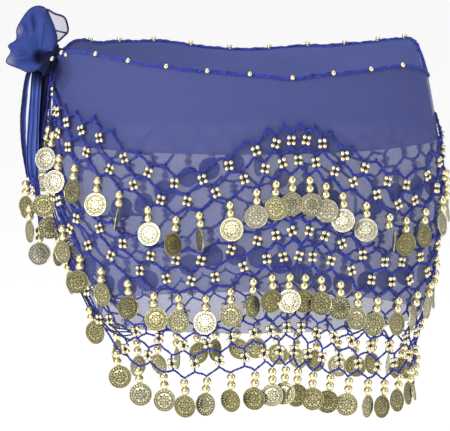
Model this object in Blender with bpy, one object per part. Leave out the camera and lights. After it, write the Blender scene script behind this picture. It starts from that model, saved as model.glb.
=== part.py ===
"""Belly dance hip scarf, worn: a hollow tube of chiffon round the hips, knotted at one side.

Sizes are millimetres, turned into metres where a mesh is made. +X is the viewer's right,
-Y the front and +Z up. The origin is the centre of the waist opening.

A place on the scarf is a station and a height. Stations run round the hips from the knot,
over the front, past the viewer's right side and back behind to the knot. The chiffon, its
doubled top, the crochet nets and the coin drops are all worked out from that one surface.
"""

import math

import bmesh
import bpy
from mathutils import Vector

METRES = 0.001

# Cloth
CLOTH_WALL = 1.2
SEAM = 0.3
LAYER_GAP = 0.6
YOKE_GAP = 1.1
PANEL_START = 14.0
PANEL_ROWS = 10
YOKE_ROWS = 3
YOKE_LEVEL = -70.0
HEM_LEVEL = -229.0

# Hips: the rings that the tube goes through
HIP_RINGS = (
    # depth below the waist opening, half width, half depth
    (-25.0, 156.0, 107.0),
    (0.0, 161.0, 110.0),
    (22.0, 165.5, 112.0),
    (50.0, 170.5, 115.0),
    (80.0, 175.0, 117.0),
    (120.0, 176.5, 118.0),
    (175.0, 170.5, 115.5),
    (210.0, 164.0, 112.5),
    (245.0, 155.0, 109.0),
    (320.0, 147.0, 106.0),
)
HIP_WIDTH, HIP_DEPTH = 176.0, 118.0
TURN_STEPS = 1440

# The upper edge, which dips at the viewer's right side and drops into the knot
RIM = (
    # station, height
    (0.0, -3.0),
    (14.0, 3.0),
    (26.0, 9.0),
    (44.0, 11.0),
    (68.0, 11.0),
    (89.0, 10.0),
    (125.0, 6.5),
    (160.0, 3.8),
    (195.0, 1.2),
    (236.0, -1.3),
    (262.0, -4.0),
    (281.0, -5.0),
    (308.0, -2.6),
    (350.0, -0.8),
    (392.0, 0.8),
    (418.0, -2.0),
    (437.0, -6.0),
    (454.0, -11.0),
    (470.0, -15.0),
    (480.0, -7.0),
    (490.0, 8.0),
    (504.0, 14.0),
    (526.0, 12.3),
    (564.0, 7.0),
    (600.0, 2.5),
    (650.0, -0.8),
    (692.0, -4.0),
    (740.0, -1.5),
    (770.0, 3.5),
    (790.0, 5.5),
    (845.0, 7.4),
    (866.0, 8.5),
    (886.0, 12.0),
    (903.0, 12.0),
    (919.0, 5.0),
    (933.0, -3.0),
)

# The largest folds: a trough is negative
FOLDS = (
    # station, half width, depth, top height, bottom height
    (50.0, 34.0, 2.5, 0.0, -190.0),
    (392.0, 30.0, -5.0, -10.0, -240.0),
    (430.0, 26.0, 3.0, -60.0, -250.0),
    (560.0, 45.0, 3.5, -90.0, -260.0),
    (640.0, 36.0, -3.5, -120.0, -260.0),
    (760.0, 45.0, 3.0, -100.0, -260.0),
    (860.0, 36.0, -3.0, -20.0, -200.0),
)

# Where the cloth is drawn up and out into the knot
KNOT_HEIGHT = -12.0
KNOT_PULL = 9.0
PULL_REACH = 46.0
FAN_WIDTH = 60.0
FAN_GROWTH = 260.0
FAN_LEVEL = -90.0

# The net: one column of bead flowers and one coin every pitch, in waves
COLUMNS = 44
WAVE_CREST = 284.0
WAVE_LENGTH = 213.0
WAVE_SIZE = 41.0
WAVE_FALL = 0.165
WAVE_LEVEL = -95.0

TIERS = (
    # name, level of the top cord's low points, row spacing, first column
    ("upper", -89.0, 16.5, 1),
    ("middle", -159.0, 19.0, 2),
    ("lower", -233.5, 19.0, 3),
)
FLOWER = 11.0
ZIGZAG = 5.5
CORD_HALF = 1.2
CORD_RIDGE = 1.8
CORD_END = 1.3

# Coin drops
DROP_STRAND = 15.5
COIN = 20.5
COIN_SIDES = 8
COIN_THICK = 1.2
COIN_CLEAR = 3.6
FREE_TURN = math.radians(26.0)

# Rim cord, knot, bow and tail
RIM_CORD_RADIUS = 1.2
KNOT_CENTRE = Vector((-176.5, 0.0, -1.0))
KNOT_SIZE = Vector((13.5, 18.9, 11.5))
KNOT_GATHERS = 8

PI2 = 2.0 * math.pi


# Materials
def material(name, colour, roughness, metallic=0.0, alpha=1.0):
    made = bpy.data.materials.new(name)
    made.use_nodes = True
    shader = made.node_tree.nodes["Principled BSDF"]
    shader.inputs["Base Color"].default_value = (*colour, 1.0)
    shader.inputs["Roughness"].default_value = roughness
    shader.inputs["Metallic"].default_value = metallic
    shader.inputs["Alpha"].default_value = alpha
    made.diffuse_color = (*colour, alpha)
    return made


# The hip surface
def smooth(rows, at, column):
    """The named column at a place in the first column, on a curve through all the rows."""
    if at <= rows[0][0]:
        return rows[0][column]
    if at >= rows[-1][0]:
        return rows[-1][column]
    upper = next(i for i, row in enumerate(rows) if row[0] >= at)
    lower = upper - 1
    before, after = max(lower - 1, 0), min(upper + 1, len(rows) - 1)
    span = rows[upper][0] - rows[lower][0]
    start = (rows[upper][column] - rows[before][column]) / (rows[upper][0] - rows[before][0])
    end = (rows[after][column] - rows[lower][column]) / (rows[after][0] - rows[lower][0])
    t = (at - rows[lower][0]) / span
    return (
        (2 * t**3 - 3 * t**2 + 1) * rows[lower][column]
        + (t**3 - 2 * t**2 + t) * span * start
        + (3 * t**2 - 2 * t**3) * rows[upper][column]
        + (t**3 - t**2) * span * end
    )


def girth_table():
    """(turn, station) pairs round the hip ellipse, from the knot side over the front."""
    rows, station, last = [(0.0, 0.0)], 0.0, (-HIP_WIDTH, 0.0)
    for step in range(1, TURN_STEPS + 1):
        turn = PI2 * step / TURN_STEPS
        here = (-HIP_WIDTH * math.cos(turn), -HIP_DEPTH * math.sin(turn))
        station += math.dist(here, last)
        rows.append((turn, station))
        last = here
    return rows


TURNS = girth_table()
GIRTH = TURNS[-1][1]
PITCH = GIRTH / COLUMNS
SIDE = GIRTH / 2


def turn_at(station):
    step = 0
    high = TURN_STEPS
    while high - step > 1:
        middle = (step + high) // 2
        if TURNS[middle][1] <= station:
            step = middle
        else:
            high = middle
    (turn, start), (next_turn, end) = TURNS[step], TURNS[high]
    return turn + (next_turn - turn) * (station - start) / (end - start)


def window(at, centre, half):
    """1 at the centre, falling smoothly to 0 at half a width from it."""
    away = abs(at - centre) / half
    return 0.5 + 0.5 * math.cos(math.pi * away) if away < 1 else 0.0


def fold(station, height):
    """How far the cloth stands out of the plain hip form: its pull to the knot, and its folds."""
    edge = min(station, GIRTH - station)
    total = KNOT_PULL * window(edge, 0.0, PULL_REACH) * window(height, 0.0, PULL_REACH)
    for centre, half, depth, top, bottom in FOLDS:
        along = window(station, centre, half)
        total += depth * along * window(height, (top + bottom) / 2, (top - bottom) / 2)
    return total


def skin(station, height, out=0.0):
    """A point of the chiffon's outer face, moved out from it."""
    turn = turn_at(station)
    wide, deep = smooth(HIP_RINGS, -height, 1), smooth(HIP_RINGS, -height, 2)
    normal = Vector((-math.cos(turn) / wide, -math.sin(turn) / deep, 0.0)).normalized()
    point = Vector((-wide * math.cos(turn), -deep * math.sin(turn), height))
    return point + normal * (out + fold(station, height))


# Vertical lines of the panels, one a pitch. The nets lie on the flats between them.
LINES = [PANEL_START, 1.3 * PITCH]
LINES += [PITCH * k for k in range(2, COLUMNS - 1)]
LINES += [GIRTH - 1.3 * PITCH, GIRTH - PANEL_START]


def on_cloth(station, height, out):
    """A point on the panel's flat between two of its lines, and the way out of it there."""
    after = next((i for i, line in enumerate(LINES) if line > station), len(LINES) - 1)
    after = max(after, 1)
    start, end = LINES[after - 1], LINES[after]
    first, second = skin(start, height), skin(end, height)
    along = (second - first).normalized()
    normal = Vector((along.y, -along.x, 0.0)).normalized()
    share = (station - start) / (end - start)
    return first.lerp(second, share) + normal * out, normal


def fanned(station, level, width_level=None):
    """The height of a level, drawn up towards the knot near both ends of the scarf."""
    base = level if width_level is None else width_level
    width = FAN_WIDTH * math.exp((FAN_LEVEL - base) / FAN_GROWTH)
    edge = min(station, GIRTH - station)
    share = math.sin(math.pi / 2 * min(1.0, edge / width))
    return KNOT_HEIGHT + (level - KNOT_HEIGHT) * share


def net_height(station, level):
    """The height of a net level: waves, drawn up towards the knot."""
    crest = 0.5 + 0.5 * math.cos(PI2 * (station - WAVE_CREST) / WAVE_LENGTH)
    size = WAVE_SIZE + WAVE_FALL * (level - WAVE_LEVEL)
    return fanned(station, level + size * crest, level)


def rim_height(station):
    return smooth(RIM, station, 1)


def rim_slope(station):
    """How steep the rim is over the next pitch, either way."""
    return abs(rim_height(station + PITCH) - rim_height(station)) / PITCH


def hem_height(station):
    return fanned(station, HEM_LEVEL)


# Making meshes
def add_object(name, points, faces, look, smooth_shade=True):
    mesh = bpy.data.meshes.new(name)
    bm = bmesh.new()
    verts = [bm.verts.new(point * METRES) for point in points]
    for face in faces:
        bm.faces.new([verts[i] for i in face])
    bmesh.ops.recalc_face_normals(bm, faces=bm.faces)
    bm.to_mesh(mesh)
    bm.free()
    if smooth_shade:
        mesh.shade_smooth()
        mesh.set_sharp_from_angle(angle=math.radians(40))
    mesh.materials.append(look)
    made = bpy.data.objects.new(name, mesh)
    bpy.context.collection.objects.link(made)
    return made


def sheet(name, across, rows, place, look, wall=CLOTH_WALL):
    """A cloth: a grid whose points are placed by a function of its two shares, given a wall inwards."""
    mesh = bpy.data.meshes.new(name)
    bm = bmesh.new()
    bmesh.ops.create_grid(bm, x_segments=across, y_segments=rows, size=0.5)
    for vert in bm.verts:
        vert.co = place(vert.co.x + 0.5, vert.co.y + 0.5) * METRES
    bm.to_mesh(mesh)
    bm.free()
    mesh.shade_smooth()
    mesh.materials.append(look)
    made = bpy.data.objects.new(name, mesh)
    bpy.context.collection.objects.link(made)
    solid = made.modifiers.new("wall", "SOLIDIFY")
    solid.thickness = wall * METRES
    solid.offset = -1.0
    return made


# Panels and the doubled top
def panel_line(lines, share):
    return lines[round(share * (len(lines) - 1))]


def panel(name, lines, look):
    """One stretch of chiffon, from the crocheted rim down to the hem."""

    def place(across, up):
        station = panel_line(lines, across)
        height = hem_height(station) + (rim_height(station) - hem_height(station)) * up
        return skin(station, height)

    return sheet(name, len(lines) - 1, PANEL_ROWS, place, look)


def yoke(name, lines, look):
    """The doubled top inside a panel, with a straight lower edge."""

    def place(across, up):
        station = panel_line(lines, across)
        low = fanned(station, YOKE_LEVEL)
        high = rim_height(station) - 1.0
        return skin(station, low + (high - low) * up, -CLOTH_WALL - YOKE_GAP)

    return sheet(name, len(lines) - 1, YOKE_ROWS, place, look)


def rim_cord(name, lines, look):
    """The crocheted edging along the rim, as a thick cord just above the cloth's edge."""
    curve = bpy.data.curves.new(name, "CURVE")
    curve.dimensions = "3D"
    curve.bevel_depth = RIM_CORD_RADIUS * METRES
    curve.bevel_resolution = 0
    curve.use_fill_caps = True
    spline = curve.splines.new("POLY")
    spline.points.add(len(lines) - 1)
    for point, station in zip(spline.points, lines):
        if abs(station - SIDE) < CORD_END:
            station = SIDE + math.copysign(CORD_END, station - SIDE)
        slope = max(rim_slope(station - PITCH), rim_slope(station))
        raised = rim_height(station) + (RIM_CORD_RADIUS + LAYER_GAP) * math.hypot(1.0, slope)
        point.co = (*(skin(station, raised, -CLOTH_WALL / 2) * METRES), 1.0)
    curve.materials.append(look)
    made = bpy.data.objects.new(name, curve)
    bpy.context.collection.objects.link(made)
    return made


# Crochet: cords with three sides, flat on the cloth, joined at shared points
class Web:
    """Points at (station, height), and the cords between them."""

    def __init__(self):
        self.places = {}
        self.links = {}
        self.points = []
        self.faces = []

    def place(self, key, station, height):
        self.places[key] = Vector((station, height))
        self.links[key] = []

    def link(self, first, second):
        self.links[first].append(second)
        self.links[second].append(first)

    def vertex(self, point):
        self.points.append(point)
        return len(self.points) - 1

    def corners(self, key, hanging):
        """Each cord's end at this point: its left and right corner, and the ridge they share."""
        here = self.places[key]
        away = {}
        for other in self.links[key]:
            step = self.places[other] - here
            away[other] = math.atan2(step.y, step.x)
        if key in hanging:
            away["drop"] = -math.pi / 2
        order = sorted(away, key=away.get)
        ridge = self.vertex(on_cloth(*here, LAYER_GAP + CORD_RIDGE)[0])
        ends = {other: {"ridge": ridge} for other in order}
        rim = []
        for i, other in enumerate(order):
            following = order[(i + 1) % len(order)]
            gap = (away[following] - away[other]) % PI2 if len(order) > 1 else PI2
            if len(order) == 1:
                side = Vector((-math.sin(away[other]), math.cos(away[other]))) * CORD_HALF
                left = self.vertex(on_cloth(*(here + side), LAYER_GAP)[0])
                right = self.vertex(on_cloth(*(here - side), LAYER_GAP)[0])
                ends[other].update(left=left, right=right)
                self.faces.append((ridge, left, right))
                return ends
            reach = min(CORD_HALF / math.sin(gap / 2), 3.0 * CORD_HALF)
            middle = away[other] + gap / 2
            spot = here + Vector((math.cos(middle), math.sin(middle))) * reach
            corner = self.vertex(on_cloth(*spot, LAYER_GAP)[0])
            ends[other]["left"] = corner
            ends[following]["right"] = corner
            rim.append(corner)
        if len(rim) > 2:
            self.faces.append(tuple(reversed(rim)))
        return ends

    def build(self, name, look, hanging=(), drop=None):
        ends = {key: self.corners(key, hanging) for key in self.places}
        for key, others in self.links.items():
            for other in others:
                if key > other:
                    continue
                near, far = ends[key][other], ends[other][key]
                left, right, ridge = near["left"], near["right"], near["ridge"]
                far_left, far_right, far_ridge = far["right"], far["left"], far["ridge"]
                self.faces.append((ridge, far_ridge, far_left, left))
                self.faces.append((right, far_right, far_ridge, ridge))
                self.faces.append((left, far_left, far_right, right))
        for key in hanging:
            drop(self, self.places[key], ends[key]["drop"])
        return add_object(name, self.points, self.faces, look, smooth_shade=False)


def net_edges(first, last, short=0.0):
    """The stations between which a net's cords run: from near the knot to the side, or back."""
    knot_end = PITCH * 0.18 + short
    if first < COLUMNS / 2:
        return PITCH * first + knot_end, SIDE - CORD_END
    return SIDE + CORD_END, PITCH * (last + 1) - knot_end


def net(name, tier, first, last, look):
    """Two rows of bead flowers between zigzag cords. The lowest cord belongs to the coins."""
    _, level, spacing, _ = tier
    low = level - spacing - FLOWER - ZIGZAG
    web = Web()

    def put(kind, column, at, drop):
        station = min(max(PITCH * at, first_edge), last_edge)
        web.place((kind, column), station, net_height(station, level - drop))

    first_edge, last_edge = net_edges(first, last)
    for column in range(first, last + 1):
        put("top low", column, column + 0.5, 0.0)
        put("middle high", column, column + 0.5, FLOWER)
        web.link(("top low", column), ("middle high", column))
    for column in range(first, last + 2):
        put("top high", column, column, -ZIGZAG)
        put("middle low", column, column, spacing)
        for side in (column - 1, column):
            if first <= side <= last:
                web.link(("top high", column), ("top low", side))
                web.link(("middle low", column), ("middle high", side))
        if first < column <= last:
            station = PITCH * column
            foot = net_height(station, level - spacing - FLOWER)
            slope = abs(net_height(station + 1.0, low) - net_height(station - 1.0, low)) / 2
            slope += 2 * ZIGZAG / PITCH
            foot += CORD_HALF * (math.hypot(1.0, slope) + slope) + SEAM
            web.place(("stub", column), station, foot)
            web.link(("middle low", column), ("stub", column))
    return web.build(name, look)


def coin_drop(next_level):
    """A function that hangs a strand and its coin from a cord, clear of the next net down."""

    def make(web, place, ends):
        station, height = place
        root, normal = on_cloth(station, height, LAYER_GAP)
        along = Vector((-normal.y, normal.x, 0.0))
        length = DROP_STRAND + COIN
        lean = 0.0
        if next_level is not None:
            net_top = net_height(station, next_level) + 2 * ZIGZAG
            for reach in (DROP_STRAND, DROP_STRAND + COIN / 2, length):
                clear = COIN_CLEAR if height - reach < net_top else LAYER_GAP + SEAM
                behind, _ = on_cloth(station, height - reach, clear)
                lean = max(lean, (behind - root).dot(normal) * length / reach)
        down = (normal * lean - Vector((0.0, 0.0, length))).normalized()
        outward = along.cross(down) * -1.0
        turn = FREE_TURN if next_level is None else 0.0
        wide = along * math.cos(turn) + outward * math.sin(turn)
        thick = outward * math.cos(turn) - along * math.sin(turn)
        centre = root + down * (DROP_STRAND + COIN / 2) + outward * 0.2
        front, back = [], []
        for side in range(COIN_SIDES):
            angle = math.pi / 2 + PI2 * (side + 0.5) / COIN_SIDES
            spot = centre + (wide * math.cos(angle) - down * math.sin(angle)) * COIN / 2
            back.append(web.vertex(spot))
            front.append(web.vertex(spot + thick * COIN_THICK))
        last = COIN_SIDES - 1
        left, right, ridge = ends["left"], ends["right"], ends["ridge"]
        web.faces.append(tuple(front))
        web.faces.append(tuple(reversed(back)))
        for side in range(last):
            web.faces.append((front[side], back[side], back[side + 1], front[side + 1]))
        web.faces.append((ridge, front[last], back[last], left))
        web.faces.append((right, back[0], front[0], ridge))
        web.faces.append((left, back[last], back[0], right))
        web.faces.append((ridge, front[0], front[last]))

    return make


def coins(name, tier, first, last, next_level, look):
    """The lowest zigzag cord of a tier, with a coin drop under every flower."""
    _, level, spacing, _ = tier
    low = level - spacing - FLOWER - ZIGZAG
    web = Web()
    first_edge, last_edge = net_edges(first, last, short=3.0)
    for column in range(first, last + 1):
        station = PITCH * (column + 0.5)
        web.place(("low", column), station, net_height(station, low))
    for column in range(first, last + 2):
        station = min(max(PITCH * column, first_edge), last_edge)
        web.place(("high", column), station, net_height(station, low + ZIGZAG))
        for side in (column - 1, column):
            if first <= side <= last:
                web.link(("high", column), ("low", side))
    hanging = [("low", column) for column in range(first, last + 1)]
    return web.build(name, look, hanging, coin_drop(next_level))


# Knot, bow and tail
def knot(name, look):
    """The tied lump: a ball drawn into gathers that run out from its middle."""
    mesh = bpy.data.meshes.new(name)
    bm = bmesh.new()
    bmesh.ops.create_uvsphere(bm, u_segments=16, v_segments=9, radius=1.0)
    for vert in bm.verts:
        angle = math.atan2(vert.co.z, vert.co.x)
        ripple = 1.0 - 0.09 * (0.5 + 0.5 * math.cos(KNOT_GATHERS * angle)) * (1 - abs(vert.co.y))
        vert.co = Vector(s * c for s, c in zip(KNOT_SIZE, vert.co)) * ripple
        vert.co = (vert.co + KNOT_CENTRE) * METRES
    bm.to_mesh(mesh)
    bm.free()
    mesh.shade_smooth()
    mesh.materials.append(look)
    made = bpy.data.objects.new(name, mesh)
    bpy.context.collection.objects.link(made)
    return made


BOW_RINGS = (
    # way along the axis, half width, half depth, push towards the knot's own side
    (0.0, 8.0, 6.0, 0.0),
    (6.0, 17.0, 12.0, -2.0),
    (15.0, 23.0, 16.5, -3.0),
    (25.0, 24.0, 17.0, -1.0),
    (34.0, 20.5, 13.0, 2.0),
    (40.0, 14.0, 7.5, 4.0),
)
BOW_SIDES = 16
BOW_WAY = Vector((-0.42, 0.0, 0.907)).normalized()
BOW_ROOT = KNOT_CENTRE + BOW_WAY * 11.3


def bow(name, look):
    """The puffed end of the scarf: a cup that opens away from the knot, with lobed edges."""
    across = Vector((BOW_WAY.z, 0.0, -BOW_WAY.x))

    def place(share, up):
        way, wide, deep, push = BOW_RINGS[round(up * (len(BOW_RINGS) - 1))]
        angle = PI2 * share
        lobes = 1.0 + 0.07 * math.sin(3 * angle + 0.6) * up
        point = BOW_ROOT + BOW_WAY * (way + 2.5 * math.sin(2 * angle) * up)
        point += across * (wide * lobes * math.cos(angle) + push)
        return point + Vector((0.0, -1.0, 0.0)) * deep * lobes * math.sin(angle)

    made = sheet(name, BOW_SIDES, len(BOW_RINGS) - 1, place, look)
    mesh = made.data
    bm = bmesh.new()
    bm.from_mesh(mesh)
    bmesh.ops.remove_doubles(bm, verts=bm.verts, dist=0.05 * METRES)
    bmesh.ops.recalc_face_normals(bm, faces=bm.faces)
    bm.to_mesh(mesh)
    bm.free()
    return made


SIDE_LOOP = (
    # x, z of the band's outer face, half width
    (-170.0, 42.0, 6.0),
    (-166.0, 44.0, 9.0),
    (-160.5, 41.0, 11.0),
    (-158.0, 33.5, 12.0),
    (-159.0, 26.0, 11.0),
    (-165.0, 20.0, 8.0),
)


def side_loop(name, look):
    """The small loop beside the bow, a band of cloth bent back on itself."""

    def place(along, across):
        x, z, half = SIDE_LOOP[round(along * (len(SIDE_LOOP) - 1))]
        return Vector((x, half * (2 * across - 1) - 4.0, z))

    return sheet(name, len(SIDE_LOOP) - 1, 4, place, look)


TAILS = (
    # name, pleats, rows of (height, middle x, middle y, half width, half depth)
    (
        "tail",
        2,
        (
            (-12.9, -181.0, -1.0, 6.0, 1.8),
            (-30.0, -187.5, -1.0, 8.2, 3.5),
            (-55.0, -188.5, -1.0, 8.7, 3.5),
            (-80.0, -188.0, -1.0, 8.2, 3.5),
            (-102.0, -187.0, -1.0, 6.5, 2.0),
            (-116.0, -186.5, -1.0, 5.0, 1.0),
        ),
    ),
    (
        "tail_slim",
        1,
        (
            (-9.6, -187.0, 7.0, 2.0, 3.0),
            (-27.0, -197.0, 7.0, 2.4, 3.5),
            (-55.0, -199.8, 6.6, 2.4, 3.5),
            (-80.0, -199.3, 7.0, 2.4, 3.5),
            (-102.0, -197.6, 6.5, 2.2, 3.0),
        ),
    ),
)


def tail(name, pleats, rows, look):
    """A hanging end of the scarf, drawn into lengthwise pleats."""
    across = 4 * pleats

    def place(share, up):
        height, x, y, half, deep = rows[-1 - round(up * (len(rows) - 1))]
        wave = math.cos(PI2 * pleats * share)
        return Vector((x + half * (2 * share - 1), y - deep * wave, height))

    return sheet(name, across, len(rows) - 1, place, look)


TAIL_CORD = (
    # x, y, height: the crocheted end below the tail, thick enough to carry the coins
    (-186.3, -1.0, -116.6),
    (-186.0, -1.5, -126.0),
    (-184.5, -2.0, -136.0),
    (-183.5, -2.0, -146.0),
    (-183.0, -2.0, -154.0),
)
TAIL_CORD_HALF = 2.6
TAIL_COINS = (
    # row of the cord it hangs from, side (-1 left, 1 right), reach, forward, drop, turn
    (0, -1, 10.5, 2.0, 16.0, 50.0),
    (2, -1, 9.0, 4.0, 18.0, 66.0),
    (2, 1, 9.0, 8.0, 14.0, 10.0),
    (3, 1, 16.0, 0.0, 30.0, 60.0),
)
FOOT_COIN_DROP = 21.0


def tail_coins(name, look):
    """A square cord with coins on both sides of it, and one more at its foot."""
    points, faces = [], []
    for x, y, height in TAIL_CORD:
        for side, depth in ((-1, -1), (1, -1), (1, 1), (-1, 1)):
            points.append(Vector((x + side * TAIL_CORD_HALF, y + depth * TAIL_CORD_HALF, height)))
    taken = {(row, side) for row, side, *_ in TAIL_COINS}
    for row in range(len(TAIL_CORD) - 1):
        for k in range(4):
            side = {3: -1, 1: 1}.get(k, 0)
            if (row, side) in taken:
                continue
            high, low = 4 * row, 4 * row + 4
            after = (k + 1) % 4
            faces.append((high + after, high + k, low + k, low + after))
    faces.append((0, 1, 2, 3))
    for row, side, reach, forward, drop, turn in TAIL_COINS:
        near, far = (4 * row + 1, 4 * row + 2) if side > 0 else (4 * row + 3, 4 * row)
        socket = (far, near, near + 4, far + 4)
        x, y, height = TAIL_CORD[row]
        centre = Vector((x + side * reach, y - forward, height - drop))
        hang_coin(points, faces, socket, centre, math.radians(turn) * side)
    foot = 4 * (len(TAIL_CORD) - 1)
    x, y, height = TAIL_CORD[-1]
    socket = (foot + 3, foot + 2, foot + 1, foot)
    hang_coin(points, faces, socket, Vector((x - 2.0, y, height - FOOT_COIN_DROP)), math.radians(15.0))
    return add_object(name, points, faces, look, smooth_shade=False)


def hang_coin(points, faces, socket, centre, turn):
    """A coin plate whose top edge is joined by a tapering strand to four points of the cord."""
    wide = Vector((math.cos(turn), math.sin(turn), 0.0))
    thick = Vector((math.sin(turn), -math.cos(turn), 0.0)) * (COIN_THICK / 2)
    start = len(points)
    for side in range(COIN_SIDES):
        angle = math.pi / 2 + PI2 * (side + 0.5) / COIN_SIDES
        spot = centre + (wide * math.cos(angle) + Vector((0, 0, 1)) * math.sin(angle)) * COIN / 2
        points.append(spot + thick)
        points.append(spot - thick)
    front = [start + 2 * side for side in range(COIN_SIDES)]
    back = [index + 1 for index in front]
    faces.append(tuple(front))
    faces.append(tuple(reversed(back)))
    last = COIN_SIDES - 1
    for side in range(last):
        faces.append((front[side], back[side], back[side + 1], front[side + 1]))
    ring = (back[0], back[last], front[last], front[0])
    best = min(range(4), key=lambda shift: span(points, socket, ring, shift))
    for k in range(4):
        a, b = socket[k], socket[(k + 1) % 4]
        c, d = ring[(k + best + 1) % 4], ring[(k + best) % 4]
        faces.append((b, a, d, c))


def span(points, socket, ring, shift):
    return sum((points[socket[k]] - points[ring[(k + shift) % 4]]).length for k in range(4))


def main():
    for old in list(bpy.data.objects):
        bpy.data.objects.remove(old)
    chiffon = material("chiffon", (0.08, 0.10, 0.33), 0.55, alpha=0.7)
    doubled = material("doubled chiffon", (0.07, 0.09, 0.30), 0.6, alpha=0.9)
    crochet = material("crochet yarn", (0.03, 0.05, 0.45), 0.8)
    gold = material("coins and beads", (0.62, 0.52, 0.26), 0.28, metallic=1.0)

    seam = SEAM / 2 + CLOTH_WALL * math.pi / COLUMNS * 2
    half = COLUMNS // 2
    front_lines = [line for line in LINES if line < SIDE - 1.0] + [SIDE - seam]
    back_lines = [SIDE + seam] + [line for line in LINES if line > SIDE + 1.0]
    for side, lines in (("front", front_lines), ("back", back_lines)):
        panel(f"{side}_panel", lines, chiffon)
        yoke(f"yoke_{side}", lines, doubled)
        rim_cord(f"rim_cord_{side}", lines, crochet)
    next_levels = [tier[1] for tier in TIERS[1:]] + [None]
    for tier, next_level in zip(TIERS, next_levels):
        name, first = tier[0], tier[3]
        for side, start, end in (
            ("front", first, half - 1),
            ("back", half, COLUMNS - 1 - first),
        ):
            net(f"net_{side}_{name}", tier, start, end, crochet)
            coins(f"coins_{side}_{name}", tier, start, end, next_level, gold)
    knot("knot", chiffon)
    bow("bow", chiffon)
    side_loop("side_loop", chiffon)
    for name, pleats, rows in TAILS:
        tail(name, pleats, rows, chiffon)
    tail_coins("coins_tail", gold)


main()
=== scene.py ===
# %% [markdown]
# A belly dance hip scarf, tied round the hips and knotted at one side.
# The real one is a rectangle of sheer chiffon. Its top is folded down inside, so the upper band is
# twice as dense. Waves of crochet net with bead flowers are sewn on it, and coins hang from the net.
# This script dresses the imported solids. It loads them first and never moves them.

import math
import random

import bmesh
import bpy
from mathutils import Matrix, Vector


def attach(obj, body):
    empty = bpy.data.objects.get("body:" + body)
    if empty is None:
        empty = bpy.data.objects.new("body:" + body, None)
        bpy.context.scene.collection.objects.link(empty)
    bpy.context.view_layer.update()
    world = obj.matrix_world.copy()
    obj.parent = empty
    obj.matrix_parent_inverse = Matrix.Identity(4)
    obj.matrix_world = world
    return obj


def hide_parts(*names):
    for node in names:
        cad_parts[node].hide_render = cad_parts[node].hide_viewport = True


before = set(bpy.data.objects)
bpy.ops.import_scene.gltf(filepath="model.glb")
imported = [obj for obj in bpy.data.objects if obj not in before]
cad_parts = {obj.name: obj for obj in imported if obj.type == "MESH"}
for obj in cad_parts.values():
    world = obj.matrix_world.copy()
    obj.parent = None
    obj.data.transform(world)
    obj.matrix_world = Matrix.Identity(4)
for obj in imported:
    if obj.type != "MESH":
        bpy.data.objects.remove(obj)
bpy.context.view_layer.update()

# %% [markdown]
# Every size below is in millimetres, because cloth, cords and beads are small, and is turned into
# metres only where a mesh is made. The hip form is a stack of ellipses. It could be sculpted by
# hand, but a few measured rings with a smooth curve between them are easier to correct.

# %% The hip form, in rings
MM = 0.001
HIP_RINGS = (
    # depth below the waist opening, half width, half depth
    (-25.0, 156.0, 107.0),
    (0.0, 161.0, 110.0),
    (22.0, 165.5, 112.0),
    (50.0, 170.5, 115.0),
    (80.0, 175.0, 117.0),
    (120.0, 176.5, 118.0),
    (175.0, 170.5, 115.5),
    (210.0, 164.0, 112.5),
    (245.0, 155.0, 109.0),
    (320.0, 147.0, 106.0),
)
HIP_WIDTH, HIP_DEPTH = 176.0, 118.0
TURN_STEPS = 1440
FULL_TURN = 2.0 * math.pi
UP = Vector((0.0, 0.0, 1.0))
FRONT = Vector((0.0, -1.0, 0.0))


def smooth(rows, at, column):
    """The column's value at a place in the first column, on a curve through all the rows."""
    if at <= rows[0][0]:
        return rows[0][column]
    if at >= rows[-1][0]:
        return rows[-1][column]
    upper = next(i for i, row in enumerate(rows) if row[0] >= at)
    lower = upper - 1
    before, after = max(lower - 1, 0), min(upper + 1, len(rows) - 1)
    span = rows[upper][0] - rows[lower][0]
    start = (rows[upper][column] - rows[before][column]) / (rows[upper][0] - rows[before][0])
    end = (rows[after][column] - rows[lower][column]) / (rows[after][0] - rows[lower][0])
    t = (at - rows[lower][0]) / span
    return (
        (2 * t**3 - 3 * t**2 + 1) * rows[lower][column]
        + (t**3 - 2 * t**2 + t) * span * start
        + (3 * t**2 - 2 * t**3) * rows[upper][column]
        + (t**3 - t**2) * span * end
    )


def girth_table():
    """(turn, station) pairs round the hip ellipse, from the knot over the front."""
    rows, station, last = [(0.0, 0.0)], 0.0, (-HIP_WIDTH, 0.0)
    for step in range(1, TURN_STEPS + 1):
        turn = FULL_TURN * step / TURN_STEPS
        here = (-HIP_WIDTH * math.cos(turn), -HIP_DEPTH * math.sin(turn))
        station += math.dist(here, last)
        rows.append((turn, station))
        last = here
    return rows


def from_knot(station):
    """How far a station lies from the knot, the shorter way round."""
    return min(station, GIRTH - station)


TURNS = girth_table()
GIRTH = TURNS[-1][1]
SIDE = GIRTH / 2
print("girth of the hips:", round(GIRTH), "mm")

# %% [markdown]
# A place on the scarf is a station, counted in millimetres round the hips from the knot over the
# front, and a height. Cloth, cords, beads and coins all ask the same function where a place is,
# so they stay on each other whatever the form does.

# %% Folds, the pull to the knot, and the skin of the scarf
FOLDS = (
    # station, half width, depth, top height, bottom height
    (50.0, 34.0, 2.5, 0.0, -190.0),
    (392.0, 30.0, -5.0, -10.0, -240.0),
    (430.0, 26.0, 3.0, -60.0, -250.0),
    (560.0, 45.0, 3.5, -90.0, -260.0),
    (640.0, 36.0, -3.5, -120.0, -260.0),
    (760.0, 45.0, 3.0, -100.0, -260.0),
    (860.0, 36.0, -3.0, -20.0, -200.0),
)
KNOT_HEIGHT = -12.0
KNOT_PULL = 9.0
PULL_REACH = 46.0


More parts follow.
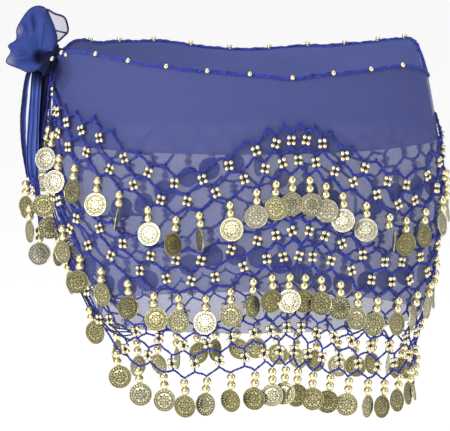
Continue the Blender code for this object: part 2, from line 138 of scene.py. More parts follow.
def turn_at(station):
    """The turn round the hips at a station."""
    low, high = 0, TURN_STEPS
    while high - low > 1:
        middle = (low + high) // 2
        if TURNS[middle][1] <= station:
            low = middle
        else:
            high = middle
    (turn, start), (next_turn, end) = TURNS[low], TURNS[high]
    return turn + (next_turn - turn) * (station - start) / (end - start)


def window(at, centre, half):
    """1 at the centre, falling smoothly to 0 at half a width from it."""
    away = abs(at - centre) / half
    return 0.5 + 0.5 * math.cos(math.pi * away) if away < 1 else 0.0


def fold(station, height):
    """How far the cloth stands out of the plain hip form."""
    total = KNOT_PULL * window(from_knot(station), 0.0, PULL_REACH) * window(height, 0.0, PULL_REACH)
    for centre, half, depth, top, bottom in FOLDS:
        along = window(station, centre, half)
        if along:
            total += depth * along * window(height, (top + bottom) / 2, (top - bottom) / 2)
    return total


def hip_place(station, height):
    """A point of the plain hip form, and the direction straight out of it."""
    turn = turn_at(station)
    wide, deep = smooth(HIP_RINGS, -height, 1), smooth(HIP_RINGS, -height, 2)
    point = Vector((-wide * math.cos(turn), -deep * math.sin(turn), height))
    return point, Vector((-math.cos(turn) / wide, -math.sin(turn) / deep, 0.0)).normalized()


def outward(station, height):
    return hip_place(station, height)[1]


def skin(station, height, out=0.0):
    """A point of the chiffon's outer face, moved out from it."""
    point, normal = hip_place(station, height)
    return point + normal * (out + fold(station, height))


print("middle of the front, at the waist:", [round(x, 1) for x in skin(GIRTH / 4, 0.0)])

# %% [markdown]
# Three curves run round the scarf: the rim, the hem and the net's waves. Near the knot all of them
# are drawn up together, as cloth and net are when an end is tied, so one function fans them.

# %% Rim, hem and net waves
RIM = (
    # station, height
    (0.0, -3.0),
    (14.0, 3.0),
    (26.0, 9.0),
    (44.0, 11.0),
    (68.0, 11.0),
    (89.0, 10.0),
    (125.0, 6.5),
    (160.0, 3.8),
    (195.0, 1.2),
    (236.0, -1.3),
    (262.0, -4.0),
    (281.0, -5.0),
    (308.0, -2.6),
    (350.0, -0.8),
    (392.0, 0.8),
    (418.0, -2.0),
    (437.0, -6.0),
    (454.0, -11.0),
    (470.0, -15.0),
    (480.0, -7.0),
    (490.0, 8.0),
    (504.0, 14.0),
    (526.0, 12.3),
    (564.0, 7.0),
    (600.0, 2.5),
    (650.0, -0.8),
    (692.0, -4.0),
    (740.0, -1.5),
    (770.0, 3.5),
    (790.0, 5.5),
    (845.0, 7.4),
    (866.0, 8.5),
    (886.0, 12.0),
    (903.0, 12.0),
    (919.0, 5.0),
    (933.0, -3.0),
)
HEM_LEVEL = -229.0
DOUBLED_LEVEL = -70.0
FAN_WIDTH = 60.0
FAN_GROWTH = 260.0
FAN_LEVEL = -90.0
UPPER_SPREAD = 0.3
UPPER_LEVEL, UPPER_REACH = -160.0, 60.0
COLUMNS = 44
PITCH = GIRTH / COLUMNS
COLUMN_PLACES = (
    # column, station: wide meshes where the net is stretched, narrow ones where it bunches
    (0.0, 0.0),
    (1.5, 32.0),
    (2.5, 53.0),
    (3.5, 73.0),
    (4.5, 97.0),
    (6.5, 148.0),
    (8.5, 195.0),
    (10.5, 242.0),
    (12.5, 273.0),
    (14.5, 302.0),
    (16.5, 340.0),
    (18.5, 387.0),
    (20.5, 434.0),
    (22.0, 462.0),
    (25.0, 523.0),
    (30.0, 632.0),
    (38.0, 806.0),
    (41.5, 884.0),
    (44.0, GIRTH),
)
NET_SAG = (
    # station, height: the net hangs lower on the side away from the knot
    (0.0, 0.0),
    (240.0, 0.0),
    (275.0, -1.5),
    (305.0, -5.0),
    (345.0, -8.0),
    (386.0, -8.0),
    (415.0, -7.5),
    (440.0, -9.5),
    (466.0, -10.0),
    (520.0, -4.0),
    (570.0, 0.0),
    (GIRTH, 0.0),
)
WAVE_CREST = 282.0
WAVE_LENGTH = 213.0
WAVE_SIZE = 41.0
WAVE_FALL = 0.165
WAVE_LEVEL = -95.0


def fanned(station, level, base=None, spread=1.0):
    """The height of a level, drawn up towards the knot. A base level sets how wide the fan is."""
    base = level if base is None else base
    width = FAN_WIDTH * spread * math.exp((FAN_LEVEL - base) / FAN_GROWTH)
    share = math.sin(math.pi / 2 * min(1.0, from_knot(station) / width))
    return KNOT_HEIGHT + (level - KNOT_HEIGHT) * share


def column_station(column):
    return smooth(COLUMN_PLACES, column, 1)


def net_height(station, level):
    """The height of a net level: waves, drawn up towards the knot."""
    crest = 0.5 + 0.5 * math.cos(FULL_TURN * (station - WAVE_CREST) / WAVE_LENGTH)
    size = WAVE_SIZE + WAVE_FALL * (level - WAVE_LEVEL)
    spread = 1.0 + UPPER_SPREAD * min(1.0, max(0.0, (level - UPPER_LEVEL) / UPPER_REACH))
    return fanned(station, level + size * crest, level, spread) + smooth(NET_SAG, station, 1)


def rim_height(station):
    return smooth(RIM, station, 1)


def hem_height(station):
    return fanned(station, HEM_LEVEL)


print("net columns:", COLUMNS, "of", round(PITCH, 1), "mm")

# %% [markdown]
# Materials come next. A finish here is a Principled shader with a few small helpers round it.
# Chiffon is a plain weave of fine twisted threads with air between them: one layer lets about two
# thirds of the light through. The threads follow the cloth's own UV map, which is in metres, so they
# keep their size on every piece. A picture of cloth would be quicker, but it would tile and blur.

# %% Small helpers for materials
def set_inputs(made, values):
    for name, value in values.items():
        made.inputs[name].default_value = value


def finish(name, colour, roughness, metallic=0.0):
    """A new material, with its tree and its shader."""
    made = bpy.data.materials.new(name)
    made.use_nodes = True
    shader = made.node_tree.nodes["Principled BSDF"]
    set_inputs(shader, {"Base Color": (*colour, 1.0), "Roughness": roughness, "Metallic": metallic})
    return made, made.node_tree, shader


def node(tree, kind, **values):
    """A node with its inputs set by name, or its settings where it has no such input."""
    made = tree.nodes.new(kind)
    for name, value in values.items():
        label = name.replace("_", " ").title()
        if label in made.inputs:
            made.inputs[label].default_value = value
        else:
            setattr(made, name, value)
    return made


def feed(tree, sockets, values):
    """Gives each socket its value, which is another socket or a plain number or colour."""
    for socket, value in zip(sockets, values):
        if isinstance(value, bpy.types.NodeSocket):
            tree.links.new(value, socket)
        else:
            socket.default_value = value


def calc(tree, operation, *values):
    """A maths node on up to three numbers or sockets, as a socket."""
    made = node(tree, "ShaderNodeMath", operation=operation)
    feed(tree, made.inputs, values)
    return made.outputs[0]


def ramp(tree, factor, low, high):
    """Two colours with a smooth change from one to the other."""
    made = tree.nodes.new("ShaderNodeValToRGB")
    made.color_ramp.elements[0].color = (*low, 1.0)
    made.color_ramp.elements[1].color = (*high, 1.0)
    tree.links.new(factor, made.inputs[0])
    return made.outputs["Color"]


def noise(tree, vector, scale, detail, roughness):
    """Soft random specks over a vector, as a socket."""
    made = node(tree, "ShaderNodeTexNoise", scale=scale, detail=detail, roughness=roughness)
    tree.links.new(vector, made.inputs["Vector"])
    return made.outputs["Fac"]


def bump(tree, shader, height, strength, distance):
    """Relief from a height socket, given to the shader."""
    made = node(tree, "ShaderNodeBump", strength=strength, distance=distance * MM)
    tree.links.new(height, made.inputs["Height"])
    tree.links.new(made.outputs["Normal"], shader.inputs["Normal"])


def spot(tree, coords, place, inner, outer):
    """1 within the inner distance of a place seen from the front, 0 beyond the outer one."""
    flat = node(tree, "ShaderNodeMapping", scale=(1.0, 0.0, 1.0))
    away = node(tree, "ShaderNodeVectorMath", operation="DISTANCE")
    away.inputs[1].default_value = (place[0] * MM, 0.0, place[1] * MM)
    limits = {"from_min": outer * MM, "from_max": inner * MM}
    fade = node(tree, "ShaderNodeMapRange", interpolation_type="SMOOTHSTEP", **limits)
    tree.links.new(coords.outputs["Object"], flat.inputs["Vector"])
    tree.links.new(flat.outputs["Vector"], away.inputs[0])
    tree.links.new(away.outputs["Value"], fade.inputs["Value"])
    return fade.outputs["Result"]


def blend(tree, factor, first, second):
    """A mix of two colours. A Mix node keeps a colour's sockets behind those of other kinds."""
    made = node(tree, "ShaderNodeMix", data_type="RGBA")
    feed(tree, (made.inputs[0], made.inputs[6], made.inputs[7]), (factor, first, second))
    return made.outputs[2]


print("helpers made")

# %% [markdown]
# Cloth that is drawn into the knot turns opaque there, because many layers lie behind each other,
# and its colour there is painted shade. A place with a single layer over the light is pale.
# So a chiffon may have spots of painted shade and pale panes.

# %% Chiffon, single and doubled
WEAVE_PITCH = 0.6
BAND_SCALE = 0.314
THREAD_GAP = 0.03
CLOUD = 0.10
PANE_ALPHA = 0.3
# Painted shade round the knot: place, inner and outer distance of the spot, and its near-black colour.
KNOT_SHADE_SPOT = (-178.0, -6.0, 9.0, 27.0)
KNOT_SHADE_COLOUR = (0.006, 0.007, 0.03, 1.0)


def chiffon(name, light, dark, alpha, slubs=(14.0, 70.0), shade_spots=(KNOT_SHADE_SPOT,), panes=()):
    """Sheer plain weave: thin places between the threads, and slubs that run along the cloth."""
    made, tree, shader = finish(name, light, 0.62)
    set_inputs(shader, {"Sheen Weight": 0.08, "Sheen Roughness": 0.45, "Sheen Tint": (0.3, 0.4, 1.0, 1.0)})
    set_inputs(shader, {"Specular IOR Level": 0.08})
    coords = node(tree, "ShaderNodeTexCoord")
    threads = []
    for direction in ("X", "Y"):
        bands = {"bands_direction": direction, "scale": BAND_SCALE / (WEAVE_PITCH * MM)}
        wave = node(tree, "ShaderNodeTexWave", distortion=0.4, **bands)
        tree.links.new(coords.outputs["UV"], wave.inputs["Vector"])
        threads.append(wave.outputs["Fac"])
    stretch = node(tree, "ShaderNodeMapping", scale=(*slubs, 1.0))
    tree.links.new(coords.outputs["UV"], stretch.inputs["Vector"])
    slub = noise(tree, stretch.outputs["Vector"], 1.0, 3.0, 0.6)
    tone = ramp(tree, slub, dark, light)
    weave = calc(tree, "MAXIMUM", *threads)
    cover = calc(tree, "MULTIPLY_ADD", weave, THREAD_GAP, alpha - THREAD_GAP * 2 / 3)
    see = calc(tree, "SUBTRACT", calc(tree, "MULTIPLY_ADD", slub, CLOUD, cover), CLOUD / 2)
    for x, z, inner, outer in panes:
        thin = calc(tree, "MULTIPLY", spot(tree, coords, (x, z), inner, outer), alpha - PANE_ALPHA)
        see = calc(tree, "SUBTRACT", see, thin)
    # Painted shade: within each spot the colour is blended to near-black and the cloth turns opaque.
    for x, z, inner, outer in shade_spots:
        near = spot(tree, coords, (x, z), inner, outer)
        tone = blend(tree, near, tone, KNOT_SHADE_COLOUR)
        see = calc(tree, "MINIMUM", calc(tree, "ADD", see, near), 1.0)
    tree.links.new(tone, shader.inputs["Base Color"])
    tree.links.new(see, shader.inputs["Alpha"])
    return made


SHEER = chiffon("sheer_chiffon", (0.090, 0.108, 0.305), (0.065, 0.079, 0.25), 0.37)
DOUBLED = chiffon("doubled_chiffon", (0.182, 0.206, 0.44), (0.143, 0.164, 0.375), 0.68)
# The doubled chiffon again, darker: painted shade on the inside of the back, seen between the rims.
SHADED_BACK_DOUBLED = chiffon("doubled_chiffon_back_shaded", (0.088, 0.116, 0.35), (0.064, 0.086, 0.29), 0.74)
# Painted shade in the pit of the puffed end, where its cloth runs together.
PUFF_PIT_SHADE = ((-182.5, 3.5, 3.5, 11.5),)
PUFF_PANES = ((-204.0, 27.0, 1.0, 12.0), (-173.0, 47.0, 1.0, 13.0), (-214.0, 0.0, 2.0, 17.0))
PUFFED = chiffon(
    "puffed_chiffon", (0.055, 0.090, 0.315), (0.020, 0.034, 0.185), 0.86, (40.0, 26.0), PUFF_PIT_SHADE, PUFF_PANES
)
PANE = chiffon("pane_chiffon", (0.22, 0.22, 0.40), (0.15, 0.15, 0.32), 0.24, shade_spots=())
PLEATED = (420.0, 14.0)
HANGING = chiffon("hanging_chiffon", (0.125, 0.20, 0.56), (0.040, 0.064, 0.30), 0.93, PLEATED)
# Near-black chiffon for the knot and the strip beside the hanging end: painted shade of tight gathers.
SHADED_TIGHT = chiffon("tight_chiffon_shaded", (0.009, 0.011, 0.055), (0.002, 0.002, 0.010), 1.0, PLEATED, ())
print("chiffon finishes made")

# %% [markdown]
# Crochet yarn is dull and fuzzy, so its tone changes in specks as fine as its fibres. The beads are
# pale gold plate, a little dulled in patches. Both read Object coordinates, which run on through all
# the cords or beads of a piece, so no two neighbours show the same specks.

# %% Crochet yarn and gold beads
WORN_ROUGHER, NEW_SMOOTHER = 0.22, 0.08


def yarn(name, light, dark):
    """Fuzzy yarn: fine fibres over soft changes of tone."""
    made, tree, shader = finish(name, light, 0.85)
    set_inputs(shader, {"Sheen Weight": 0.08, "Sheen Roughness": 0.6, "Specular IOR Level": 0.25})
    coords = node(tree, "ShaderNodeTexCoord")
    fibre = noise(tree, coords.outputs["Object"], 620.0, 3.0, 0.65)
    tone = ramp(tree, fibre, dark, light)
    stops = tone.node.color_ramp.elements
    stops[0].position, stops[1].position = 0.40, 0.66
    tree.links.new(tone, shader.inputs["Base Color"])
    bump(tree, shader, fibre, 0.5, 0.4)
    return made


def gold(name, light, dark, roughness):
    """Plated metal, a little worn: the plate dulls in patches."""
    made, tree, shader = finish(name, light, roughness, 1.0)
    coords = node(tree, "ShaderNodeTexCoord")
    wear = noise(tree, coords.outputs["Object"], 220.0, 3.0, 0.6)
    tone = ramp(tree, wear, dark, light)
    tree.links.new(tone, shader.inputs["Base Color"])
    rough = calc(tree, "MULTIPLY_ADD", wear, WORN_ROUGHER, roughness - NEW_SMOOTHER)
    tree.links.new(rough, shader.inputs["Roughness"])
    return made, tree, shader, coords


ROYAL_YARN = yarn("royal_yarn", (0.050, 0.076, 0.57), (0.004, 0.006, 0.065))
NAVY_YARN = yarn("navy_yarn", (0.022, 0.028, 0.14), (0.004, 0.006, 0.035))
BEAD_GOLD = gold("bead_gold", (0.90, 0.83, 0.56), (0.62, 0.53, 0.28), 0.20)[0]
print("yarn and bead finishes made")

# %% [markdown]
# The coins are thin stamped discs with a dotted border and a rosette in the middle. The rosette and
# dots are too shallow to model 130 times, so they are relief in the material, worked out from the
# coin's own UV map in polar form: the angle makes petals and dots, and the distance makes rings.

# %% Coin metal with a stamped rosette
PETALS, PETAL_REACH, ROSETTE = 8.0, 0.10, 0.40
DOTS, DOT_RING, DOT_WIDTH = 20.0, 0.72, 0.13
OUTLINE = 0.12
RINGS = (
    # distance from the middle, width
    (0.88, 0.06),
    (0.16, 0.07),
)
WORN_SPECKS = (1.6, -0.25)
RUBBED_FROM = 0.48
LOWEST, HIGHEST, DOT_RISE = -0.03, 0.06, 0.08


def polar(tree, coords):
    """The distance from the coin's middle, 1 at its edge, and the angle round it."""
    middle = node(tree, "ShaderNodeMapping", location=(-1.0, -1.0, 0.0), scale=(2.0, 2.0, 1.0))
    split = node(tree, "ShaderNodeSeparateXYZ")
    tree.links.new(coords.outputs["UV"], middle.inputs["Vector"])
    tree.links.new(middle.outputs["Vector"], split.inputs["Vector"])
    x, y = split.outputs["X"], split.outputs["Y"]
    square = calc(tree, "ADD", calc(tree, "MULTIPLY", x, x), calc(tree, "MULTIPLY", y, y))
    return calc(tree, "SQRT", square), calc(tree, "ARCTAN2", y, x)


def groove(tree, value, width):
    """0 where a value is 0, rising to 1 at a width on either side."""
    return calc(tree, "MINIMUM", calc(tree, "DIVIDE", calc(tree, "ABSOLUTE", value), width), 1.0)


def coin_metal(name, light, dark, patina):
    """Stamped metal: dark patina lies along the rosette, between the dots and in the rings."""
    made, tree, shader, coords = gold(name, light, dark, 0.32)
    distance, angle = polar(tree, coords)
    petals = calc(tree, "COSINE", calc(tree, "MULTIPLY", angle, PETALS))
    reach = calc(tree, "MULTIPLY_ADD", petals, PETAL_REACH, ROSETTE)
    inside = calc(tree, "SUBTRACT", reach, distance)
    dots = calc(tree, "MAXIMUM", calc(tree, "COSINE", calc(tree, "MULTIPLY", angle, DOTS)), 0.0)
    off_ring = groove(tree, calc(tree, "SUBTRACT", distance, DOT_RING), DOT_WIDTH)
    border = calc(tree, "MULTIPLY", calc(tree, "SUBTRACT", 1.0, off_ring), dots)
    clean = calc(tree, "MULTIPLY", groove(tree, inside, OUTLINE), calc(tree, "MAXIMUM", off_ring, dots))
    for radius, width in RINGS:
        ring = groove(tree, calc(tree, "SUBTRACT", distance, radius), width)
        clean = calc(tree, "MULTIPLY", clean, ring)
    speck = noise(tree, coords.outputs["Object"], 700.0, 2.0, 0.5)
    worn = calc(tree, "MINIMUM", calc(tree, "MULTIPLY_ADD", speck, *WORN_SPECKS), 1.0)
    # The tone is tarnish that differs from coin to coin; its top values are a painted highlight on coins
    # turned to the lamp.
    tone = node(tree, "ShaderNodeAttribute", attribute_name="tone").outputs["Fac"]
    plate = node(tree, "ShaderNodeValToRGB")
    stops = plate.color_ramp.elements
    stops[0].color = (*dark, 1.0)
    stops.new(0.5).color = (*light, 1.0)
    tree.links.new(tone, plate.inputs[0])
    rubbed = calc(tree, "SUBTRACT", tone, RUBBED_FROM)
    clean = calc(tree, "MAXIMUM", calc(tree, "MULTIPLY", worn, clean), rubbed)
    coat = blend(tree, clean, (*patina, 1.0), plate.outputs["Color"])
    tree.links.new(coat, shader.inputs["Base Color"])
    raised = calc(tree, "MINIMUM", calc(tree, "MAXIMUM", inside, LOWEST), HIGHEST)
    bump(tree, shader, calc(tree, "MULTIPLY_ADD", border, DOT_RISE, raised), 1.0, 6.0)
    return made


COIN_METAL = coin_metal("coin_metal", (0.88, 0.82, 0.47), (0.42, 0.37, 0.16), (0.060, 0.050, 0.020))
print("coin finish made")

# %% [markdown]
# Each piece is dressed in the same way: it gets its finish, rides on the scarf's one body and stands
# for the solids that it covers.

# %% Dress a piece


def triangles(piece):
    evaluated = piece.evaluated_get(bpy.context.evaluated_depsgraph_get())
    return sum(len(face.vertices) - 2 for face in evaluated.data.polygons)


def dress(piece, look, slot, *nodes):
    """Gives a finished piece its material, its body and the solids it stands for. The slot is not used."""
    piece.data.materials.append(look)
    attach(piece, "root")
    if nodes:
        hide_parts(*nodes)
    print(piece.name, triangles(piece), "triangles")


def add_object(name, data):
    made = bpy.data.objects.new(name, data)
    bpy.context.collection.objects.link(made)
    return made


def link_mesh(name, bm, smooth_shade=True):
    """A mesh object from a bmesh in millimetres."""
    bmesh.ops.scale(bm, vec=(MM, MM, MM), verts=bm.verts)
    mesh = bpy.data.meshes.new(name)
    bm.to_mesh(mesh)
    bm.free()
    if smooth_shade:
        mesh.shade_smooth()
    return add_object(name, mesh)


# %% [markdown]
# Chiffon that is drawn into a knot creases. The creases are ripples in the angle round the knot,
# so they fan out from it, and they fade with distance. At the back a few slanting folds show
# between the two rims, and each is a row of a short table.

# %% Creases and folds of the chiffon
CREASE_DEPTH = 0.9
CREASE_REACH = 95.0
CREASE_START = 30.0
CREASES = 13.0
RIM_FOLDS = (
    # distance from the knot and height at both ends, half width, depth
    (24.0, 8.0, 158.0, -19.0, 7.0, -2.2),
    (118.0, -7.0, 222.0, -28.0, 7.0, -2.2),
    (250.0, -2.0, 330.0, -22.0, 9.0, -1.6),
    (300.0, 4.0, 400.0, -12.0, 8.0, 1.6),
)


def rim_fold(edge, height):
    """Soft slanting folds at the back, seen between the two rims."""
    total = 0.0
    for first, top, last, bottom, half, depth in RIM_FOLDS:
        share = (edge - first) / (last - first)
        if 0.0 < share < 1.0:
            away = height - (top + (bottom - top) * share)
            total += depth * window(away, 0.0, half) * math.sin(math.pi * share)
    return total


def crease(station, height):
    """Shallow creases that fan out from the knot and fade."""
    edge = from_knot(station)
    behind = rim_fold(edge, height) if station > SIDE else 0.0
    away = math.hypot(edge, height - KNOT_HEIGHT)
    angle = math.atan2(height - KNOT_HEIGHT, edge + 6.0)
    ripple = math.sin(CREASES * angle + 1.3 * math.sin(away / 23.0))
    fade = math.exp(-away / CREASE_REACH) * min(1.0, away / CREASE_START)
    return behind + CREASE_DEPTH * ripple * fade


print("crease near the knot:", round(crease(PITCH, KNOT_HEIGHT), 2), "mm")

# %% [markdown]
# The chiffon is a fine grid whose points are placed on the skin, and a thin wall. A cloth simulation
# could drape it, but worn cloth under tension follows the hips, and a placed grid keeps the rim,
# the hem and the net where they belong. The doubled top lies just inside it.

# %% Chiffon panels
CLOTH_THICK = 0.4
SHEET_STEP = 3.6
DOUBLED_INSIDE = 2.0
RIM_COVER = 0.8
STRETCHES = (
    # name, first station, last station
    ("front", 8.0, SIDE - 0.6),
    ("back", SIDE + 0.6, GIRTH - 8.0),
)


def cloth(name, width, depth, place, step=SHEET_STEP):
    """A thin sheet: a grid placed by its two shares, with a UV map in metres."""
    bm = bmesh.new()
    across, up = round(width / step), round(depth / step)
    bmesh.ops.create_grid(bm, x_segments=across, y_segments=up, size=0.5)
    uv = bm.loops.layers.uv.verify()
    for face in bm.faces:
        for loop in face.loops:
            x, y = loop.vert.co.xy
            loop[uv].uv = ((x + 0.5) * width * MM, (y + 0.5) * depth * MM)
    for vert in bm.verts:
        vert.co = place(vert.co.x + 0.5, vert.co.y + 0.5)
    made = link_mesh(name, bm)
    wall = made.modifiers.new("wall", "SOLIDIFY")
    wall.thickness = CLOTH_THICK * MM
    wall.offset = -1.0
    return made


def stretch_place(start, end, low_line, inside=0.0):
    """A sheet's places: along a stretch of the scarf, and up from a lower line to the rim."""

    def place(across, up):
        station = start + (end - start) * across
        low, high = low_line(station), rim_height(station) + RIM_COVER
        height = low + (high - low) * up
        return skin(station, height, crease(station, height) - inside)

    return place


def doubled_line(station):
    return fanned(station, DOUBLED_LEVEL)


for side, start, end in STRETCHES:
    length = end - start
    panel = cloth(f"chiffon_{side}", length, -HEM_LEVEL, stretch_place(start, end, hem_height))
    dress(panel, SHEER, "chiffon", f"{side}_panel")
    doubled_place = stretch_place(start, end, doubled_line, DOUBLED_INSIDE)
    doubled = cloth(f"doubled_top_{side}", length, -DOUBLED_LEVEL, doubled_place)
    # The back's doubled top takes the darker copy, which is painted shade.
    dress(doubled, DOUBLED if side == "front" else SHADED_BACK_DOUBLED, "doubled_chiffon", f"yoke_{side}")

# %% [markdown]
# Crochet cord is a chain of loops. At this size it reads as a soft twist, so each cord is two plies
# wound round the cord's route. A curve with a round bevel makes a ply from its points alone, and
# all the plies of one net become one mesh.

# %% Twisted cords
CORD_STEP = 1.5
SWAY, LIFT, STITCH = 1.2, 1.1, 0.5
NEXT_START = 1.1


def wander(station, height):
    """A place of the net, shifted a little, because no hand lays a net evenly."""
    along = SWAY * math.sin(height / 8.0 + 1.7 * math.sin(station / 31.0))
    up = LIFT * math.sin(station / 11.0 + 1.9 * math.sin(height / 23.0))
    along += STITCH * math.sin(height / 2.1 + station / 5.3)
    up += STITCH * math.sin(station / 2.3 - height / 4.7)
    return station + along, height + up


def route_points(places, out, loose=False):
    """Points with their outward directions, close together along straight runs of a route."""
    found = []
    for (station, height), (next_station, next_height) in zip(places, places[1:]):
        length = math.dist((station, height), (next_station, next_height))
        count = max(1, round(length / CORD_STEP))
        for k in range(count):
            share = k / count
            s = station + (next_station - station) * share
            h = height + (next_height - height) * share
            if loose:
                s, h = wander(s, h)
            found.append((skin(s, h, out), outward(s, h)))
    last = wander(*places[-1]) if loose else places[-1]
    found.append((skin(*last, out), outward(*last)))
    return found


def wind(curve, points, start, twist, swing):
    """Adds one ply to a curve: a line that winds round the points of a route."""
    spline = curve.splines.new("POLY")
    spline.points.add(len(points) - 1)
    travelled = 0.0
    for i, (point, out) in enumerate(points):
        ahead = points[min(i + 1, len(points) - 1)][0]
        behind = points[max(i - 1, 0)][0]
        along = (ahead - behind).normalized()
        side = along.cross(out).normalized()
        if i:
            travelled += (point - points[i - 1][0]).length
        angle = FULL_TURN * travelled / twist + start
        place = point + (out * math.sin(angle) + side * math.cos(angle)) * swing
        spline.points[i].co = (*(place * MM), 1.0)


def cords(name, routes, ply_radius, swing, twist=6.5, plies=2):
    """One mesh of twisted cords. A route is a list of points with their outward directions."""
    curve = bpy.data.curves.new(name, "CURVE")
    curve.dimensions = "3D"
    curve.bevel_depth = ply_radius * MM
    curve.bevel_resolution = 1
    curve.use_fill_caps = True
    for number, points in enumerate(routes):
        for ply in range(plies):
            wind(curve, points, FULL_TURN * ply / plies + number * NEXT_START, twist, swing)
    holder = add_object(name + "_route", curve)
    bpy.context.view_layer.update()
    mesh = bpy.data.meshes.new_from_object(holder.evaluated_get(bpy.context.evaluated_depsgraph_get()))
    bpy.data.objects.remove(holder)
    mesh.name = name
    mesh.shade_smooth()
    return add_object(name, mesh)


print("a ply is set every", CORD_STEP, "mm")

# %% [markdown]
# The net is the same in every tier: a zigzag cord, short drops with a bead flower on each, a second
# zigzag, more flowers half a column further on, and a last zigzag that carries the coins.

# %% Crochet nets
TIERS = (
    # name, level of the top cord's low points, row spacing, first column
    ("upper", -89.0, 16.5, 0),
    ("middle", -159.0, 19.0, 1),
    ("lower", -233.5, 19.0, 2),
)
FLOWER_DROP = 11.0
ZIGZAG = 5.5
PICOT, PICOT_LEAN = 2.6, 0.6
CORD_OUT = 2.4
END_CLEAR = PITCH / 4
SEWN_PLY, FREE_PLY = (0.85, 1.1), (0.68, 0.55)
NET_TWIST = 4.4


def zigzag(columns, level, high_at):
    """A cord's places: high at whole columns and low between them, or the other way round."""
    places = []
    for half in range(2 * columns[0], 2 * columns[1] + 1):
        whole = half % 2 == 0
        station = min(max(column_station(half / 2), END_CLEAR), GIRTH - END_CLEAR)
        raised = ZIGZAG if whole == (high_at == "whole") else 0.0
        places.append((station, net_height(station, level + raised)))
    return places


def drops(columns, top, bottom, offset):
    """Short vertical cords between two levels, each with its two ends."""
    found = []
    for column in range(*columns):
        if columns[0] < column + offset < columns[1]:
            station = column_station(column + offset)
            found.append([(station, net_height(station, level)) for level in (top, bottom)])
    return found


def tier_routes(level, spacing, columns):
    """All cords of one tier, and the places of its flowers and of its coins."""
    second = level - FLOWER_DROP - ZIGZAG
    third = level - spacing - FLOWER_DROP - ZIGZAG
    rows = [zigzag(columns, at, high) for at, high in ((level, "whole"), (second, "half"), (third, "whole"))]
    carriers = drops(columns, level, level - FLOWER_DROP, 0.5) + drops(columns, second, third + ZIGZAG, 0.0)
    flowers = [wander((a[0] + b[0]) / 2, (a[1] + b[1]) / 2) for a, b in carriers]
    stations = [column_station(column + 0.5) for column in range(*columns)]
    coins = [wander(station, net_height(station, third)) for station in stations]
    tips = [[place, (place[0] + PICOT_LEAN, place[1] + PICOT)] for place in rows[0][2:-2:2]]
    return rows + carriers + tips, flowers, coins


FLOWERS, COINS = {}, {}
for tier, level, spacing, first in TIERS:
    for side, columns in (("front", (first, COLUMNS // 2)), ("back", (COLUMNS // 2, COLUMNS - first))):
        places, FLOWERS[side, tier], COINS[side, tier] = tier_routes(level, spacing, columns)
        routes = [route_points(route, CORD_OUT, loose=True) for route in places]
        ply_radius, swing = FREE_PLY if tier == "lower" else SEWN_PLY
        net = cords(f"crochet_{side}_{tier}", routes, ply_radius, swing, NET_TWIST)
        dress(net, ROYAL_YARN, "crochet", f"net_{side}_{tier}")

# %% [markdown]
# A flower is four small gold beads in a square on the cord. There are hundreds, so a bead is a
# coarse sphere, and all the beads of one net are made in one bmesh.

# %% Bead flowers
FLOWER_BEAD = 2.2
FLOWER_REACH = (2.15, 2.5)
FLOWER_LIFT, FLOWER_TURN = 1.3, 0.4
TIE_LIFT, TIE_RADIUS = 0.4, 1.3
SQUARE = ((-1, -1), (1, -1), (1, 1), (-1, 1))
SMALL, LARGE = (8, 5), (12, 8)


def bead(bm, centre, radius, sides=SMALL):
    """A round bead, as coarse as its size allows."""
    place = Matrix.Translation(centre)
    bmesh.ops.create_uvsphere(bm, u_segments=sides[0], v_segments=sides[1], radius=radius, matrix=place)


chance = random.Random(5)
knots = bmesh.new()
for (side, tier), places in FLOWERS.items():
    bm = bmesh.new()
    for station, height in places:
        out = outward(station, height)
        centre = skin(station, height, CORD_OUT + FLOWER_LIFT)
        along = Vector((-out.y, out.x, 0.0))
        turned = Matrix.Rotation(chance.uniform(-FLOWER_TURN, FLOWER_TURN), 3, out)
        for right, up in SQUARE:
            reach = along * right * FLOWER_REACH[0] + UP * up * FLOWER_REACH[1]
            bead(bm, centre + turned @ reach, FLOWER_BEAD)
        bead(knots, centre + out * TIE_LIFT, TIE_RADIUS)
    dress(link_mesh(f"flowers_{side}_{tier}", bm), BEAD_GOLD, "coins")
dress(link_mesh("flower_knots", knots), NAVY_YARN, "crochet")

# %% [markdown]
# A coin starts as a disc. Both faces are inset to leave a rim, sunk, and raised again in the middle,
# which is what a stamp does to a blank. One coin is made, and copies are turned and placed.

# %% One stamped coin
COIN = 20.5
COIN_THICK = 0.9
COIN_SIDES = 24
STAMP = (
    # width of an inset, rise: the edge, the step down, the field and the raised middle
    (0.5, 0.0),
    (0.35, -0.28),
    (3.2, 0.0),
    (1.6, 0.22),
)


def coin_template():
    bm = bmesh.new()
    bmesh.ops.create_circle(bm, cap_ends=True, segments=COIN_SIDES, radius=COIN / 2)
    made = bmesh.ops.extrude_face_region(bm, geom=bm.faces[:])
    raised = [item for item in made["geom"] if isinstance(item, bmesh.types.BMVert)]
    bmesh.ops.translate(bm, vec=(0.0, 0.0, COIN_THICK), verts=raised)
    bmesh.ops.translate(bm, vec=(0.0, 0.0, -COIN_THICK / 2), verts=bm.verts)
    bmesh.ops.recalc_face_normals(bm, faces=bm.faces)
    for face in [face for face in bm.faces if len(face.verts) == COIN_SIDES]:
        for width, rise in STAMP:
            bmesh.ops.inset_region(bm, faces=[face], thickness=width, depth=rise, use_even_offset=True)
    uv = bm.loops.layers.uv.verify()
    for face in bm.faces:
        for loop in face.loops:
            x, y = loop.vert.co.xy
            loop[uv].uv = (0.5 + x / COIN, 0.5 + y / COIN)
    mesh = bpy.data.meshes.new("coin")
    bm.to_mesh(mesh)
    bm.free()
    return mesh


COIN_MESH = coin_template()
print("one coin:", len(COIN_MESH.polygons), "faces")


